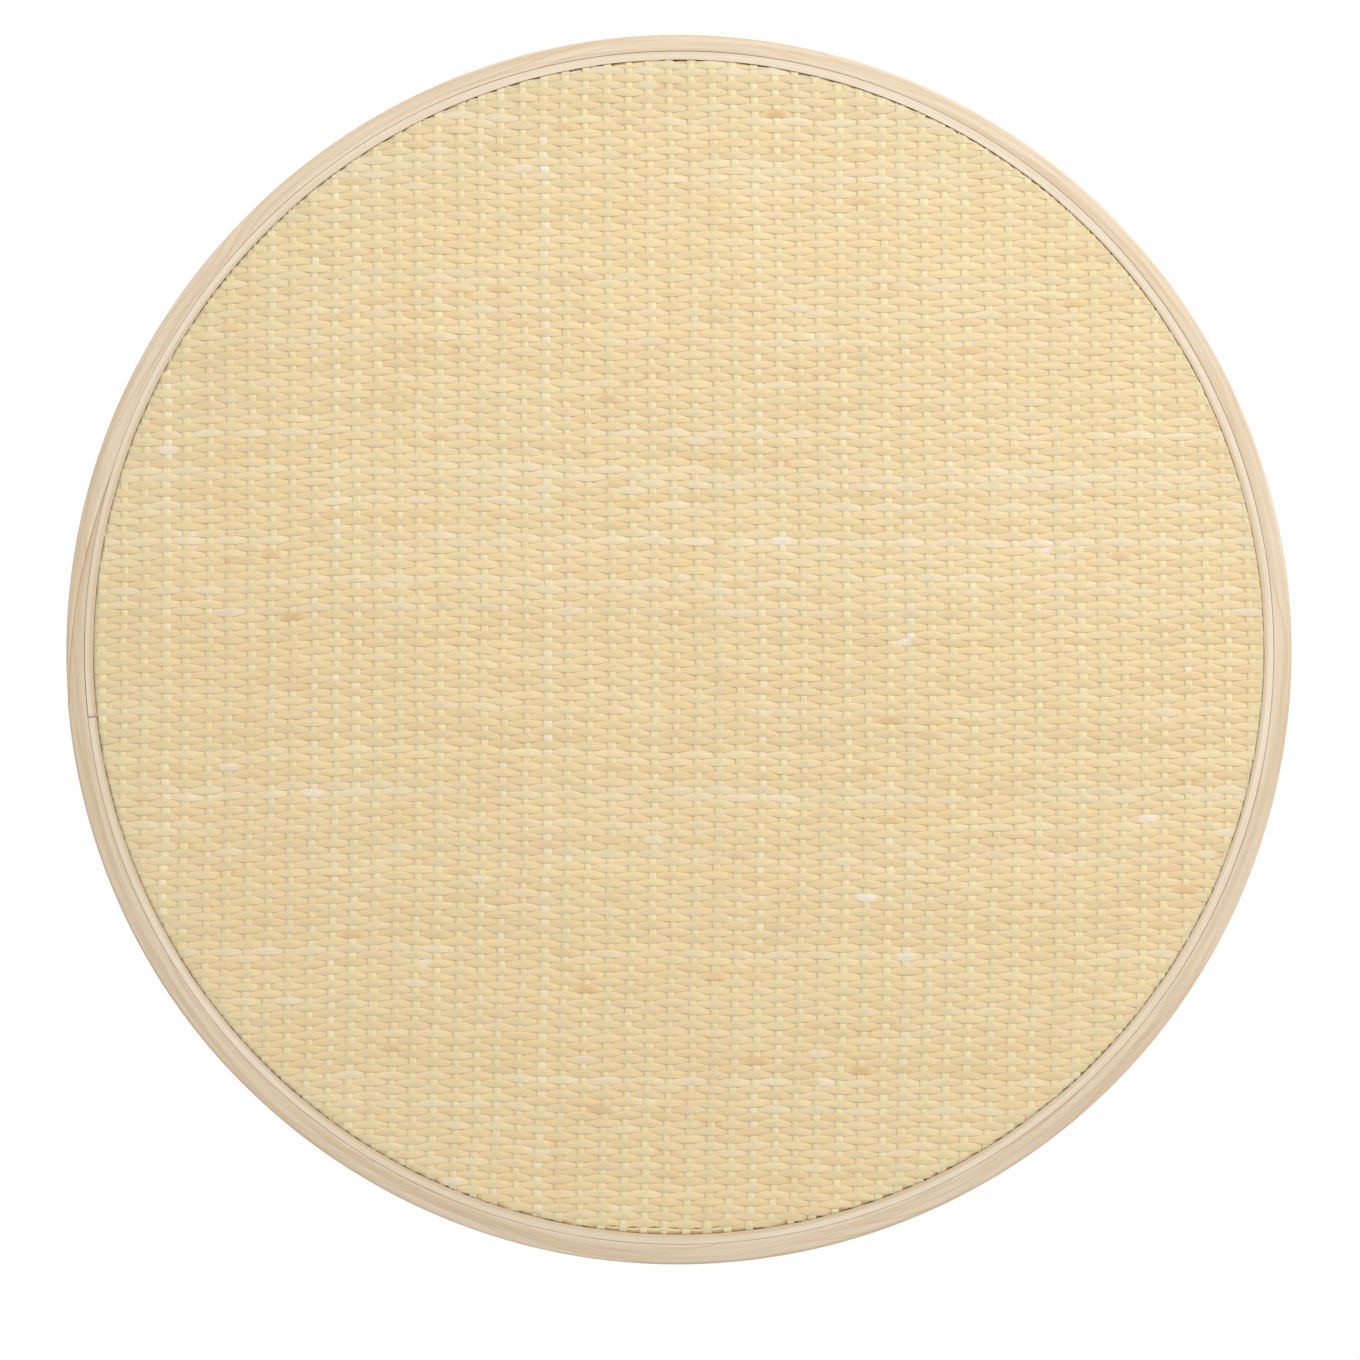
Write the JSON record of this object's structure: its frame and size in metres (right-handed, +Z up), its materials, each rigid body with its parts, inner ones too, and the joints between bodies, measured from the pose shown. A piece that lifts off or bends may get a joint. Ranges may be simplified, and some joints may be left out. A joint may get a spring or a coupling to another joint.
{
  "type": "winnowing basket",
  "caption": "Round shallow winnowing basket: a woven bamboo mat gripped in nested bent wooden hoops, which are pegged through their sides.",
  "frame": {"origin": "middle of the mat's flat belly, on the surface that the basket rests on", "axes": "+Z up out of the opening, along the rim's axis; +X along the narrow weavers; +Y along the wide stakes"},
  "size_m": [0.5, 0.5, 0.0402],
  "materials": {
    "hoop_wood": "planed pale bent wood with long slanting growth lines, unvarnished",
    "clamp_wood": "smooth scraped pale strip with a soft sheen",
    "splint_bamboo": "split bamboo splints, fine lengthwise fibres, satin",
    "peg_bamboo": "cut bamboo end grain"
  },
  "bodies": {
    "root": {"outer_hoop": "hoop_wood", "clamp_hoop": "clamp_wood", "inner_hoop": "hoop_wood", "woven_mat": "splint_bamboo", "hoop_peg_01": "peg_bamboo", "hoop_peg_02": "peg_bamboo", "hoop_peg_03": "peg_bamboo", "hoop_peg_04": "peg_bamboo", "hoop_peg_05": "peg_bamboo", "hoop_peg_06": "peg_bamboo", "hoop_peg_07": "peg_bamboo", "hoop_peg_08": "peg_bamboo", "hoop_peg_09": "peg_bamboo", "hoop_peg_10": "peg_bamboo", "hoop_peg_11": "peg_bamboo", "hoop_peg_12": "peg_bamboo", "hoop_peg_13": "peg_bamboo", "hoop_peg_14": "peg_bamboo", "hoop_peg_15": "peg_bamboo", "hoop_peg_16": "peg_bamboo"}
  },
  "joints": []
}
